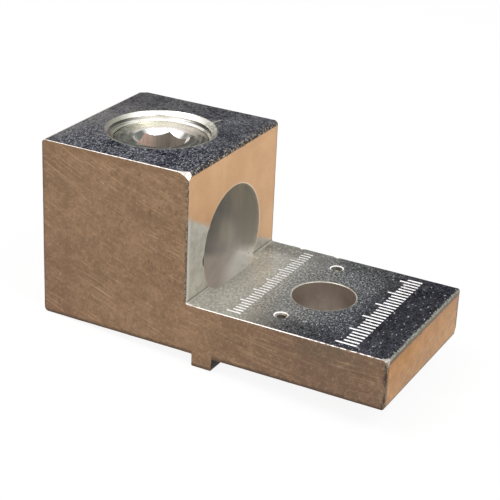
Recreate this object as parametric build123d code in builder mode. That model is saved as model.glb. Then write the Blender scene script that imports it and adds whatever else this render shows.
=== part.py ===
from build123d import *
import math
import os

os.makedirs("parts", exist_ok=True)

# Body: one extruded aluminium profile, sawn to width
body_width = 38.1
block_length = 35.2
block_height = 39.5
tongue_length = 45.0
tongue_thickness = 11.0
corner_round = 0.9
tip_round = 0.4
root_round = 0.4

# Locating rib under the tongue, part of the same profile
rib_setback = 1.6
rib_length = 4.7
rib_depth = 2.75
rib_round = 0.3

# Bolt hole through the tongue, for a 1/2 in bolt
bolt_hole_diameter = 13.5
bolt_hole_setback = 22.1
bolt_hole_chamfer = 0.35

# Wire bore through the block, cut from the back with a flat-ended cutter
wire_bore_diameter = 24.2
wire_bore_height = 18.5
wire_bore_overrun = 1.9

# Screw hole, 7/8 in thread, from the block's top down into the wire bore
thread_diameter = 22.2
screw_setback = 17.2
screw_hole_chamfer = 0.8

# Clamp screw, whose head sits a little below the block's top
screw_play = 0.05
screw_length = 22.2
screw_recess = 1.9
head_chamfer = 1.1
point_chamfer = 1.7
point_dome = 0.6

# Hexagon socket, 3/8 in across flats, broached into a drilled and countersunk pilot
socket_across_flats = 9.53
socket_depth = 9.0
socket_turn = 42.0
pilot_diameter = 9.3
pilot_depth = 9.8
pilot_drill_angle = 118.0
countersink_diameter = 12.0

# Places, measured from the bolt hole's axis at the tongue's underside
block_front = -bolt_hole_setback
block_back = block_front - block_length
tongue_tip = block_front + tongue_length
rib_back = block_front + rib_setback
rib_front = rib_back + rib_length
screw_x = block_back + screw_setback
screw_top = block_height - screw_recess
screw_tip = screw_top - screw_length

# Body: block, tongue and rib in one profile, its corners rounded by the die, its sawn sides left sharp
with BuildPart() as lug_body:
    with BuildSketch(Plane.XZ):
        with BuildLine():
            FilletPolyline(
                (block_back, 0),
                (rib_back, 0),
                (rib_back, -rib_depth),
                (rib_front, -rib_depth),
                (rib_front, 0),
                (tongue_tip, 0),
                (tongue_tip, tongue_thickness),
                (block_front, tongue_thickness),
                (block_front, block_height),
                (block_back, block_height),
                radius=(
                    corner_round,
                    rib_round,
                    rib_round,
                    rib_round,
                    rib_round,
                    tip_round,
                    tip_round,
                    root_round,
                    corner_round,
                    corner_round,
                ),
                close=True,
            )
        make_face()
    extrude(amount=body_width / 2, both=True)

    # Bolt hole, with its upper rim broken
    with BuildSketch(Plane.XY):
        Circle(bolt_hole_diameter / 2)
    extrude(amount=tongue_thickness, mode=Mode.SUBTRACT)
    bolt_rim = lug_body.edges(Select.LAST).filter_by(GeomType.CIRCLE).group_by(Axis.Z)[-1]
    chamfer(bolt_rim, bolt_hole_chamfer)

    # Wire bore, which runs past the block's front face and scoops the root of the tongue
    with BuildSketch(Plane.YZ.offset(block_back)):
        with Locations((0, wire_bore_height)):
            Circle(wire_bore_diameter / 2)
    extrude(amount=block_length + wire_bore_overrun, mode=Mode.SUBTRACT)

    # Screw hole, which opens through the roof of the wire bore
    with BuildSketch(Plane((screw_x, 0, wire_bore_height))):
        Circle(thread_diameter / 2)
    extrude(amount=block_height - wire_bore_height, mode=Mode.SUBTRACT)
    screw_rim = lug_body.edges(Select.LAST).filter_by(GeomType.CIRCLE).group_by(Axis.Z)[-1]
    chamfer(screw_rim, screw_hole_chamfer)
lug_body.part.label = "lug_body"
export_step(lug_body.part, "parts/lug_body.step")

# Clamp screw: a headless plug, drawn as half a section about its axis, from the point up
screw_section = Plane((screw_x, 0, screw_tip), x_dir=(1, 0, 0), z_dir=(0, -1, 0))
screw_axis = Axis((screw_x, 0, screw_tip), (0, 0, 1))
screw_radius = thread_diameter / 2 - screw_play
point_radius = screw_radius - point_chamfer
pilot_radius = pilot_diameter / 2
pilot_cone = pilot_radius / math.tan(math.radians(pilot_drill_angle / 2))
countersink_radius = countersink_diameter / 2

with BuildPart() as clamp_screw:
    with BuildSketch(screw_section):
        with BuildLine():
            TangentArc((0, 0), (point_radius, point_dome), tangent=(1, 0))
            Polyline(
                (point_radius, point_dome),
                (screw_radius, point_dome + point_chamfer),
                (screw_radius, screw_length - head_chamfer),
                (screw_radius - head_chamfer, screw_length),
                (0, screw_length),
                (0, 0),
            )
        make_face()
    revolve(axis=screw_axis)

    # Pilot hole with its drilled point and 45 degree countersink
    with BuildSketch(screw_section):
        with BuildLine():
            Polyline(
                (0, screw_length),
                (countersink_radius, screw_length),
                (pilot_radius, screw_length - countersink_radius + pilot_radius),
                (pilot_radius, screw_length - pilot_depth),
                (0, screw_length - pilot_depth - pilot_cone),
                close=True,
            )
        make_face()
    revolve(axis=screw_axis, mode=Mode.SUBTRACT)

    # Hexagon socket, which leaves six lobes on the countersink
    with BuildSketch(Plane((screw_x, 0, screw_top))):
        RegularPolygon(socket_across_flats / 2, 6, major_radius=False, rotation=socket_turn)
    extrude(amount=-socket_depth, mode=Mode.SUBTRACT)
clamp_screw.part.label = "clamp_screw"
export_step(clamp_screw.part, "parts/clamp_screw.step")
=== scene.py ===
import math

import bmesh
import bpy
from mathutils import Matrix, Vector, noise


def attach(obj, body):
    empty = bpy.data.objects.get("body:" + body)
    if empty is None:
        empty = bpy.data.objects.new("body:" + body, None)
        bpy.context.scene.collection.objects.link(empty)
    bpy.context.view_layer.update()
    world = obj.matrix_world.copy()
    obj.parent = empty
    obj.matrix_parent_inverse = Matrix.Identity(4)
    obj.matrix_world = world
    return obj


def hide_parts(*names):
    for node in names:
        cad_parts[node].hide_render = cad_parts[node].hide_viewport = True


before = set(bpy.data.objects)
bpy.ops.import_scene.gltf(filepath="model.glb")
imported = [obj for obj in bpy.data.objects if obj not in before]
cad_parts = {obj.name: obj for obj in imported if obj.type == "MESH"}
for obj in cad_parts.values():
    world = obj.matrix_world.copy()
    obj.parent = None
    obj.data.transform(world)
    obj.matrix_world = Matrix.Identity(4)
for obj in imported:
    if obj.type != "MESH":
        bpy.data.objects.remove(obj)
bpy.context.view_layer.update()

# Sizes in mm, in the same frame as the solids
HALF = 19.05
BACK, FRONT, TIP = -57.3, -22.1, 22.9
TOP, TONGUE = 39.5, 11.0
RIB_BACK, RIB_FRONT, RIB_LOW = -20.5, -15.8, -2.75
BORE_R, BORE_Z, BORE_END = 12.1, 18.5, -20.2
SCREW_X, SCREW_TOP, SCREW_TIP = -40.1, 37.6, 15.4
PITCH, PHASE = 25.4 / 14, 0.83
BOLT_R = 6.75


# ---------------------------------------------------------------- meshes

def smooth(a, b, t):
    t = min(max((t - a) / (b - a), 0.0), 1.0)
    return t * t * (3 - 2 * t)


def wobble(x, y, z, scale, seed):
    return noise.noise(Vector((x * scale + seed * 17.3, y * scale + seed * 5.1, z * scale - seed * 9.7)))


def make_object(name, verts, faces, slots, materials):
    """Object from vertices in mm; slots gives each face's material slot."""
    mesh = bpy.data.meshes.new(name)
    mesh.from_pydata([[c * 0.001 for c in v] for v in verts], [], faces)
    for m in materials:
        mesh.materials.append(m)
    mesh.polygons.foreach_set("material_index", slots)
    bm = bmesh.new()
    bm.from_mesh(mesh)
    bmesh.ops.remove_doubles(bm, verts=bm.verts, dist=2e-7)
    bmesh.ops.recalc_face_normals(bm, faces=bm.faces)
    bm.to_mesh(mesh)
    bm.free()
    obj = bpy.data.objects.new(name, mesh)
    bpy.context.scene.collection.objects.link(obj)
    return obj


def cut(body, tool):
    """Cuts tool out of body and removes it."""
    mod = body.modifiers.new("cut", "BOOLEAN")
    mod.operation = "DIFFERENCE"
    mod.solver = "EXACT"
    mod.object = tool
    mesh = bpy.data.meshes.new_from_object(body.evaluated_get(bpy.context.evaluated_depsgraph_get()))
    body.modifiers.clear()
    old = body.data
    body.data = mesh
    bpy.data.meshes.remove(old)
    mesh.name = body.name
    gone = tool.data
    bpy.data.objects.remove(tool)
    bpy.data.meshes.remove(gone)


def lathe(name, outline, place, segments, materials):
    """Closed solid turned about an axis. outline is (radius, height, slot) from end to end, slot for the face after the point."""
    verts, faces, slots = [], [], []
    rings = []
    for radius, height, _ in outline:
        if radius == 0:
            verts.append(place @ Vector((0, 0, height)))
            rings.append([len(verts) - 1] * segments)
        else:
            start = len(verts)
            for k in range(segments):
                a = 2 * math.pi * k / segments
                verts.append(place @ Vector((radius * math.cos(a), radius * math.sin(a), height)))
            rings.append(list(range(start, start + segments)))
    for (low, high), (_, _, slot) in zip(zip(rings, rings[1:]), outline):
        for k in range(segments):
            n = (k + 1) % segments
            ring = [low[k], low[n], high[n], high[k]]
            face = [v for i, v in enumerate(ring) if v != ring[i - 1]]
            if len(face) > 2:
                faces.append(face)
                slots.append(slot)
    return make_object(name, verts, faces, slots, materials)


def helix(name, low, high, radius_at, turns, segments, place, materials, slot):
    """Closed threaded rod. radius_at(fraction, height) gives the radius; rows follow the thread."""
    verts, faces, slots = [], [], []
    rows = len(turns)
    total = int((high - low) / PITCH + 3) * rows
    start_turn = math.floor(low / PITCH) - 1
    grid = []
    for k in range(segments + 1):
        a = 2 * math.pi * k / segments
        column = []
        for j in range(total + 1):
            u = turns[j % rows] + j // rows
            z = (start_turn + u + k / segments + PHASE) * PITCH
            z = min(max(z, low), high)
            r = radius_at((z / PITCH - k / segments - PHASE) % 1.0, z)
            column.append(len(verts))
            verts.append(place @ Vector((r * math.cos(a), r * math.sin(a), z)))
        grid.append(column)
    for k in range(segments):
        for j in range(total):
            faces.append([grid[k][j], grid[k + 1][j], grid[k + 1][j + 1], grid[k][j + 1]])
            slots.append(slot)
    obj = make_object(name, verts, faces, slots, materials)
    bm = bmesh.new()
    bm.from_mesh(obj.data)
    bmesh.ops.dissolve_degenerate(bm, dist=1e-7, edges=bm.edges)
    holes = [e for e in bm.edges if e.is_boundary]
    made = bmesh.ops.contextual_create(bm, geom=[]) if not holes else bmesh.ops.holes_fill(bm, edges=holes, sides=0)
    for f in made["faces"]:
        f.material_index = slot
    bmesh.ops.recalc_face_normals(bm, faces=bm.faces)
    bm.to_mesh(obj.data)
    bm.free()
    return obj


def thread_depth(u, flat, flank):
    """0 on the crest, 1 in the root, for a thread fraction u with its crest at 0."""
    d = min(u, 1 - u)
    return min(max((d - flat) / flank, 0.0), 1.0)


# ---------------------------------------------------------------- node helpers

class Nodes:
    """A short way to write node trees: values may be numbers or sockets."""

    def __init__(self, name):
        self.material = bpy.data.materials.new(name)
        self.material.use_nodes = True
        self.tree = self.material.node_tree
        self.tree.nodes.clear()
        self.out = self.tree.nodes.new("ShaderNodeOutputMaterial")
        self.shader = self.tree.nodes.new("ShaderNodeBsdfPrincipled")
        self.tree.links.new(self.shader.outputs[0], self.out.inputs["Surface"])
        place = self.tree.nodes.new("ShaderNodeTexCoord").outputs["Object"]
        self.mm = self.vmath("SCALE", place, None, scale=1000.0)
        self.x, self.y, self.z = self.split(self.mm)

    def put(self, socket, value):
        if isinstance(value, bpy.types.NodeSocket):
            self.tree.links.new(value, socket)
        elif value is not None:
            socket.default_value = value

    def math(self, op, a, b=0.0, c=None, clamp=False):
        n = self.tree.nodes.new("ShaderNodeMath")
        n.operation = op
        n.use_clamp = clamp
        self.put(n.inputs[0], a)
        self.put(n.inputs[1], b)
        if c is not None:
            self.put(n.inputs[2], c)
        return n.outputs[0]

    def vmath(self, op, a, b=None, scale=None):
        n = self.tree.nodes.new("ShaderNodeVectorMath")
        n.operation = op
        self.put(n.inputs[0], a)
        if b is not None:
            self.put(n.inputs[1], b)
        if scale is not None:
            self.put(n.inputs["Scale"], scale)
        return n.outputs["Value"] if op in ("LENGTH", "DOT_PRODUCT", "DISTANCE") else n.outputs["Vector"]

    def split(self, v):
        n = self.tree.nodes.new("ShaderNodeSeparateXYZ")
        self.put(n.inputs[0], v)
        return n.outputs

    def join(self, x, y, z):
        n = self.tree.nodes.new("ShaderNodeCombineXYZ")
        for s, v in zip(n.inputs, (x, y, z)):
            self.put(s, v)
        return n.outputs[0]

    def noise(self, vector, scale=1.0, detail=3.0, rough=0.5, warp=0.0, seed=0.0):
        n = self.tree.nodes.new("ShaderNodeTexNoise")
        n.noise_dimensions = "4D"
        self.put(n.inputs["Vector"], vector)
        self.put(n.inputs["W"], seed)
        self.put(n.inputs["Scale"], scale)
        self.put(n.inputs["Detail"], detail)
        self.put(n.inputs["Roughness"], rough)
        self.put(n.inputs["Distortion"], warp)
        return n.outputs[0]

    def cells(self, vector, scale=1.0, jitter=1.0, kind="F1", out="Distance"):
        n = self.tree.nodes.new("ShaderNodeTexVoronoi")
        n.feature = kind
        self.put(n.inputs["Vector"], vector)
        self.put(n.inputs["Scale"], scale)
        self.put(n.inputs["Randomness"], jitter)
        return n.outputs[out]

    def ramp(self, value, low, high, a=0.0, b=1.0, smooth=True):
        n = self.tree.nodes.new("ShaderNodeMapRange")
        n.interpolation_type = "SMOOTHSTEP" if smooth else "LINEAR"
        n.clamp = True
        for s, v in zip(n.inputs, (value, low, high, a, b)):
            self.put(s, v)
        return n.outputs[0]

    def mix(self, factor, a, b, kind="MIX"):
        n = self.tree.nodes.new("ShaderNodeMix")
        n.data_type = "RGBA"
        n.blend_type = kind
        self.put(n.inputs[0], factor)
        self.put(n.inputs[6], a)
        self.put(n.inputs[7], b)
        return n.outputs[2]

    def stretched(self, vector, factors):
        n = self.tree.nodes.new("ShaderNodeVectorMath")
        n.operation = "MULTIPLY"
        self.tree.links.new(vector, n.inputs[0])
        n.inputs[1].default_value = factors
        return n.outputs[0]

    def mixed(self, factor, a, b):
        """Number between a and b."""
        return self.math("ADD", self.math("MULTIPLY", factor, b - a), a)

    def about_screw(self):
        """Unit parts of the way out from the screw's axis: towards the far left, and towards the far right."""
        dx = self.math("SUBTRACT", self.x, SCREW_X)
        out = self.math("MAXIMUM", self.vmath("LENGTH", self.join(dx, self.y, 0.0)), 0.01)
        far = self.math("DIVIDE", self.math("ADD", self.math("MULTIPLY", dx, -0.574), self.math("MULTIPLY", self.y, 0.819)), out)
        side = self.math("DIVIDE", self.math("ADD", self.math("MULTIPLY", dx, 0.819), self.math("MULTIPLY", self.y, 0.574)), out)
        return far, side, out

    def about_turn(self, far, side, wander=0.0):
        """Angle about the screw's axis in degrees, 0 at the far left, growing towards the far right."""
        turn = self.math("MULTIPLY", self.math("ARCTAN2", side, far), 180.0 / math.pi)
        if wander:
            cloud = self.noise(self.mm, 0.5, 3.0, 0.6, 0.0, 71.0)
            turn = self.math("ADD", turn, self.math("MULTIPLY", self.math("SUBTRACT", cloud, 0.5), wander))
        return turn

    def colors(self, value, stops):
        """Colour from (value, colour) stops."""
        n = self.tree.nodes.new("ShaderNodeValToRGB")
        n.color_ramp.interpolation = "LINEAR"
        items = n.color_ramp.elements
        while len(items) < len(stops):
            items.new(0.5)
        low, high = stops[0][0], stops[-1][0]
        for item, (place, color) in zip(items, stops):
            item.position = (place - low) / (high - low)
            item.color = rgb(*color)
        self.put(n.inputs[0], self.ramp(value, low, high, 0.0, 1.0, False))
        return n.outputs[0]

    def band(self, value, low, high, soft=0.1):
        """1 between low and high, falling to 0 over soft on each side."""
        return self.math("MULTIPLY", self.ramp(value, low - soft, low), self.ramp(value, high, high + soft, 1.0, 0.0))

    def turned(self, angle, axis="Y"):
        """Coordinates in mm, turned about an axis."""
        n = self.tree.nodes.new("ShaderNodeMapping")
        n.vector_type = "POINT"
        self.put(n.inputs["Vector"], self.mm)
        turn = {"X": (1, 0, 0), "Y": (0, 1, 0), "Z": (0, 0, 1)}[axis]
        n.inputs["Rotation"].default_value = [math.radians(angle) * t for t in turn]
        return n.outputs[0]

    def bump(self, height, strength, distance=0.05, normal=None):
        n = self.tree.nodes.new("ShaderNodeBump")
        self.put(n.inputs["Height"], height)
        self.put(n.inputs["Strength"], strength)
        self.put(n.inputs["Distance"], distance * 0.001)
        if normal is not None:
            self.put(n.inputs["Normal"], normal)
        return n.outputs[0]

    def finish(self, color, rough, normal=None, metallic=1.0, tint=1.0):
        self.put(self.shader.inputs["Base Color"], color)
        self.put(self.shader.inputs["Roughness"], rough)
        self.put(self.shader.inputs["Metallic"], metallic)
        self.shader.inputs["Specular Tint"].default_value = (tint, tint, tint, 1.0)
        if normal is not None:
            self.put(self.shader.inputs["Normal"], normal)
        return self.material


def rgb(r, g, b):
    """Linear colour from 0-255 display values."""
    def lin(c):
        c /= 255.0
        return c / 12.92 if c <= 0.04045 else ((c + 0.055) / 1.055) ** 2.4
    return (lin(r), lin(g), lin(b), 1.0)


# ---------------------------------------------------------------- materials

def sawn_metal():
    """Sawn sides: dull brown, with fine arcs from the saw blade, mottling, light scratches and dark specks."""
    n = Nodes("sawn_side")
    dx, dz = n.math("SUBTRACT", n.x, 19.0), n.math("SUBTRACT", 188.0, n.z)
    radius = n.vmath("LENGTH", n.join(dx, 0.0, dz))
    along = n.math("MULTIPLY", n.math("ARCTAN2", dx, dz), 180.0)
    arc = n.join(radius, along, n.y)

    def track(across, length, seed, detail=3.0, rough=0.6):
        return n.noise(n.stretched(arc, (across, length, 0.3)), 1.0, detail, rough, 0.0, seed)

    cloud = n.noise(n.mm, 0.10, 3.0, 0.6, 0.5, 1.0)
    drift = n.noise(n.mm, 0.32, 3.0, 0.65, 0.6, 8.0)
    mottle = n.noise(n.mm, 0.75, 4.0, 0.8, 0.4, 2.0)
    grit = n.noise(n.mm, 1.7, 2.0, 0.7, 0.0, 7.0)
    speck = n.noise(n.stretched(n.mm, (1.2, 1.0, 0.6)), 0.8, 2.0, 0.5, 0.5, 3.0)
    arcs = track(2.2, 0.07, 4.0, 4.0, 0.8)
    scratch = track(3.4, 0.16, 5.0)
    faint = track(3.0, 0.09, 5.5)
    cross = n.noise(n.stretched(n.turned(-14, "Y"), (0.10, 0.3, 2.6)), 1.0, 3.0, 0.6, 0.0, 9.0)
    patch = n.noise(n.mm, 0.11, 2.0, 0.5, 0.0, 6.0)

    near_top = n.ramp(n.z, 26.0, 38.5, 0.0, 0.14)
    low_back = n.math("MULTIPLY", n.ramp(n.x, -57.0, -40.0, 0.14, 0.0), n.ramp(n.z, 24.0, 12.0))
    where = n.math("ADD", n.math("ADD", patch, near_top), low_back)
    lines = n.math("MULTIPLY", n.ramp(scratch, 0.60, 0.68), n.ramp(where, 0.50, 0.66))
    lines = n.math("MAXIMUM", lines, n.math("MULTIPLY", n.ramp(faint, 0.56, 0.66, 0.0, 0.5), n.ramp(where, 0.44, 0.60)))
    lines = n.math("MAXIMUM", lines, n.math("MULTIPLY", n.ramp(cross, 0.64, 0.70), n.ramp(patch, 0.36, 0.44, 0.7, 0.0)))

    color = n.mix(n.ramp(cloud, 0.36, 0.64), rgb(132, 104, 78), rgb(143, 113, 86))
    toward_tip = n.ramp(n.x, -24.0, 6.0, 0.0, 0.9)
    color = n.mix(toward_tip, color, rgb(112, 88, 71))
    corner = n.math("MULTIPLY", n.ramp(n.x, -54.0, -44.0, 1.0, 0.0), n.ramp(n.z, 30.0, 8.0))
    color = n.mix(n.math("MULTIPLY", corner, 0.6), color, rgb(124, 92, 72))
    color = n.mix(n.ramp(drift, 0.38, 0.52, 0.20, 0.0), color, rgb(112, 88, 68))
    color = n.mix(n.ramp(drift, 0.50, 0.66, 0.0, 0.20), color, rgb(164, 134, 106))
    color = n.mix(n.ramp(mottle, 0.34, 0.50, 0.34, 0.0), color, rgb(98, 76, 58))
    color = n.mix(n.ramp(mottle, 0.52, 0.68, 0.0, 0.30), color, rgb(178, 148, 120))
    color = n.mix(n.ramp(grit, 0.36, 0.48, 0.26, 0.0), color, rgb(98, 76, 60))
    color = n.mix(n.ramp(grit, 0.54, 0.66, 0.0, 0.24), color, rgb(186, 156, 128))
    color = n.mix(n.ramp(arcs, 0.53, 0.68, 0.0, 0.30), color, rgb(188, 152, 114))
    color = n.mix(n.ramp(arcs, 0.32, 0.44, 0.22, 0.0), color, rgb(104, 80, 61))
    color = n.mix(n.math("MULTIPLY", lines, 0.52), color, rgb(206, 174, 134))
    color = n.mix(n.ramp(speck, 0.69, 0.76, 0.0, 0.45), color, rgb(80, 64, 50))
    nicks = n.noise(n.stretched(n.mm, (2.4, 1.0, 0.7)), 1.0, 2.0, 0.5, 0.0, 10.0)
    chafed = n.math("MULTIPLY", n.band(n.x, -31.0, -25.0, 2.0), n.band(n.z, 16.0, 31.0, 3.0))
    color = n.mix(n.math("MULTIPLY", n.ramp(nicks, 0.60, 0.66, 0.0, 0.6), chafed), color, rgb(82, 64, 50))
    stain = n.math("MULTIPLY", n.band(n.x, 6.0, 15.0, 4.0), n.ramp(n.z, 3.0, 9.0))
    color = n.mix(n.math("MULTIPLY", stain, n.ramp(mottle, 0.46, 0.60, 0.0, 0.5)), color, rgb(88, 82, 68))
    over_rib = n.band(n.x, RIB_BACK, RIB_FRONT, 0.05)
    low = n.math("SUBTRACT", n.z, n.mixed(over_rib, 0.0, RIB_LOW))
    color = n.mix(n.ramp(n.math("ADD", low, n.math("MULTIPLY", n.math("SUBTRACT", mottle, 0.5), 0.8)), 0.25, 1.1, 0.75, 0.0), color, rgb(72, 56, 44))
    upper = n.ramp(n.math("ABSOLUTE", n.math("SUBTRACT", n.z, TOP - 0.6)), 0.5, 1.6, 0.3, 0.0)
    color = n.mix(upper, color, rgb(118, 90, 64))
    # Darker along the front edges of the side faces, with lighter dots.
    on_block = n.ramp(n.z, TONGUE, TONGUE + 0.4)
    to_edge = n.math("SUBTRACT", n.mixed(on_block, TIP, FRONT), n.x)
    to_edge = n.math("ADD", to_edge, n.math("MULTIPLY", n.math("SUBTRACT", mottle, 0.5), 1.1))
    front_edge_dark = n.ramp(to_edge, 0.3, 0.9, 0.8, 0.0)
    color = n.mix(front_edge_dark, color, n.mix(n.ramp(grit, 0.45, 0.56), n.mix(on_block, rgb(50, 42, 36), rgb(80, 64, 52)), n.mix(on_block, rgb(120, 106, 90), rgb(144, 126, 108))))
    back_edge = n.ramp(n.math("ADD", n.x, n.math("MULTIPLY", mottle, 0.6)), BACK + 0.3, BACK + 0.9, 0.7, 0.0)
    color = n.mix(back_edge, color, rgb(92, 76, 62))
    height = n.math("ADD", n.math("MULTIPLY", arcs, 0.6), n.math("ADD", n.math("MULTIPLY", mottle, 0.5), n.math("MULTIPLY", lines, -0.4)))
    normal = n.bump(height, 0.4, 0.06)
    return n.finish(color, n.ramp(mottle, 0.3, 0.7, 0.42, 0.56), normal, metallic=0.7)


def front_metal():
    """Front faces: smooth and tan, with grey streaks, and paler grey low down on the block, a painted reflection of the
    tongue.
    """
    n = Nodes("front_face")
    patches = n.noise(n.mm, 0.14, 4.0, 0.55, 0.4, 11.0)
    fine = n.noise(n.mm, 1.5, 4.0, 0.7, 0.0, 12.0)
    soft = n.noise(n.mm, 0.45, 3.0, 0.6, 0.5, 13.0)
    slant = n.noise(n.stretched(n.turned(35, "X"), (1.0, 0.35, 1.8)), 1.0, 3.0, 0.65, 0.2, 15.0)
    spots = n.noise(n.mm, 1.8, 2.0, 0.5, 0.0, 14.0)
    on_block = n.ramp(n.x, FRONT + 1.0, FRONT + 2.0, 1.0, 0.0)
    on_tip = n.math("SUBTRACT", 1.0, on_block)
    color = n.mix(n.ramp(patches, 0.35, 0.65), rgb(197, 152, 106), rgb(206, 162, 116))
    color = n.mix(n.ramp(fine, 0.55, 0.78, 0.0, 0.4), color, rgb(178, 136, 96))

    wide = n.noise(n.stretched(n.turned(50, "X"), (1.0, 0.09, 0.30)), 1.0, 3.0, 0.55, 0.3, 16.0)
    end = n.mix(n.ramp(wide, 0.36, 0.60), rgb(164, 115, 56), rgb(178, 129, 70))
    end = n.mix(n.ramp(patches, 0.46, 0.60, 0.0, 0.35), end, rgb(168, 116, 78))
    end = n.mix(n.ramp(soft, 0.36, 0.50, 0.35, 0.0), end, rgb(140, 98, 60))
    end = n.mix(n.ramp(soft, 0.52, 0.64, 0.0, 0.30), end, rgb(200, 150, 96))
    end = n.mix(n.ramp(spots, 0.56, 0.68, 0.0, 0.45), end, rgb(132, 94, 62))
    end = n.mix(n.ramp(n.z, 7.5, 10.8, 0.0, 0.55), end, rgb(150, 106, 64))
    rim = n.math("MINIMUM", n.math("SUBTRACT", n.math("ABSOLUTE", n.math("ADD", n.math("SUBTRACT", n.z, TONGUE - 0.85), n.math("MULTIPLY", n.math("SUBTRACT", spots, 0.5), 0.9))), 0.12), n.math("SUBTRACT", n.z, 0.60))
    rim = n.math("MINIMUM", rim, n.math("MINIMUM", n.math("MULTIPLY", n.math("ADD", n.y, HALF), 0.40), n.math("MULTIPLY", n.math("SUBTRACT", HALF, n.y), 0.40)))
    rim = n.math("ADD", rim, n.math("MULTIPLY", n.math("SUBTRACT", fine, 0.5), 0.7))
    end = n.mix(n.ramp(rim, 0.10, 0.42, 0.85, 0.0), end, rgb(76, 60, 46))
    color = n.mix(on_tip, color, end)

    # Painted reflection of the tongue: paler grey on the block below a slanting line.
    edge = n.math("ADD", n.math("MULTIPLY", n.math("SUBTRACT", HALF, n.y), 0.485), TONGUE)
    above = n.math("SUBTRACT", n.z, n.math("ADD", edge, n.math("ADD", n.math("MULTIPLY", n.math("SUBTRACT", patches, 0.5), 1.0), n.math("MULTIPLY", n.math("SUBTRACT", slant, 0.5), 2.5))))
    pale = n.math("MULTIPLY", n.ramp(above, -0.7, 0.9, 1.0, 0.0), on_block)
    grey = n.mix(n.ramp(soft, 0.35, 0.65), rgb(178, 173, 158), rgb(200, 196, 184))
    grey = n.mix(n.ramp(fine, 0.58, 0.75, 0.0, 0.35), grey, rgb(160, 158, 144))
    color = n.mix(pale, color, grey)
    dirty = n.ramp(n.z, TOP - 2.4, TOP - 0.9, 0.0, 0.40)
    color = n.mix(n.math("MULTIPLY", n.ramp(spots, 0.54, 0.66), n.math("MULTIPLY", dirty, on_block)), color, rgb(110, 92, 74))
    seam = n.band(n.math("ADD", n.z, n.math("MULTIPLY", n.math("SUBTRACT", spots, 0.5), 0.4)), TOP - 0.95, TOP - 0.65, 0.15)
    color = n.mix(n.math("MULTIPLY", seam, n.ramp(fine, 0.35, 0.5, 0.35, 0.8)), color, rgb(74, 60, 48))
    far_edge = n.math("MULTIPLY", n.ramp(n.y, HALF - 0.55, HALF - 0.2, 0.0, 0.75), on_block)
    color = n.mix(far_edge, color, rgb(112, 84, 60))
    # Painted highlight: a light ring round the mouth of the bore, stronger towards the far side.
    mouth = n.vmath("LENGTH", n.join(0.0, n.y, n.math("SUBTRACT", n.z, BORE_Z)))
    lip = n.math("MULTIPLY", n.ramp(mouth, BORE_R + 0.15, BORE_R + 0.35, 1.0, 0.0), n.math("MULTIPLY", on_block, n.ramp(n.y, -4.0, 8.0, 0.30, 0.60)))
    color = n.mix(lip, color, rgb(226, 214, 196))
    # Painted shade: a small dark spot at a nick on the near rim of the bore's mouth.
    nick = n.vmath("LENGTH", n.join(0.0, n.math("MULTIPLY", n.math("ADD", n.y, 12.25), 2.0), n.math("MULTIPLY", n.math("SUBTRACT", n.z, 18.0), 0.7)))
    color = n.mix(n.math("MULTIPLY", n.ramp(nick, 0.5, 1.1, 0.95, 0.0), on_block), color, rgb(58, 50, 42))
    # A near-white strip along the near edge of the block's front, low down.
    near_edge_pale = n.math("MULTIPLY", n.ramp(n.math("ADD", n.y, n.math("MULTIPLY", n.math("SUBTRACT", soft, 0.5), 2.0)), -HALF + 0.6, -HALF + 1.4, 0.55, 0.0), n.ramp(n.z, 31.0, 27.0))
    color = n.mix(n.math("MULTIPLY", near_edge_pale, on_block), color, rgb(226, 224, 218))
    # Painted shade: a darker grey line in the corner where the block's front meets the tongue.
    root = n.ramp(n.math("ABSOLUTE", n.math("SUBTRACT", n.z, TONGUE + 0.35)), 0.0, 0.45, 0.75, 0.0)
    color = n.mix(n.math("MULTIPLY", root, on_block), color, rgb(116, 116, 106))
    normal = n.bump(fine, 0.25, 0.04)
    return n.finish(color, n.ramp(fine, 0.3, 0.7, 0.34, 0.46), normal, metallic=0.5)


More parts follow.
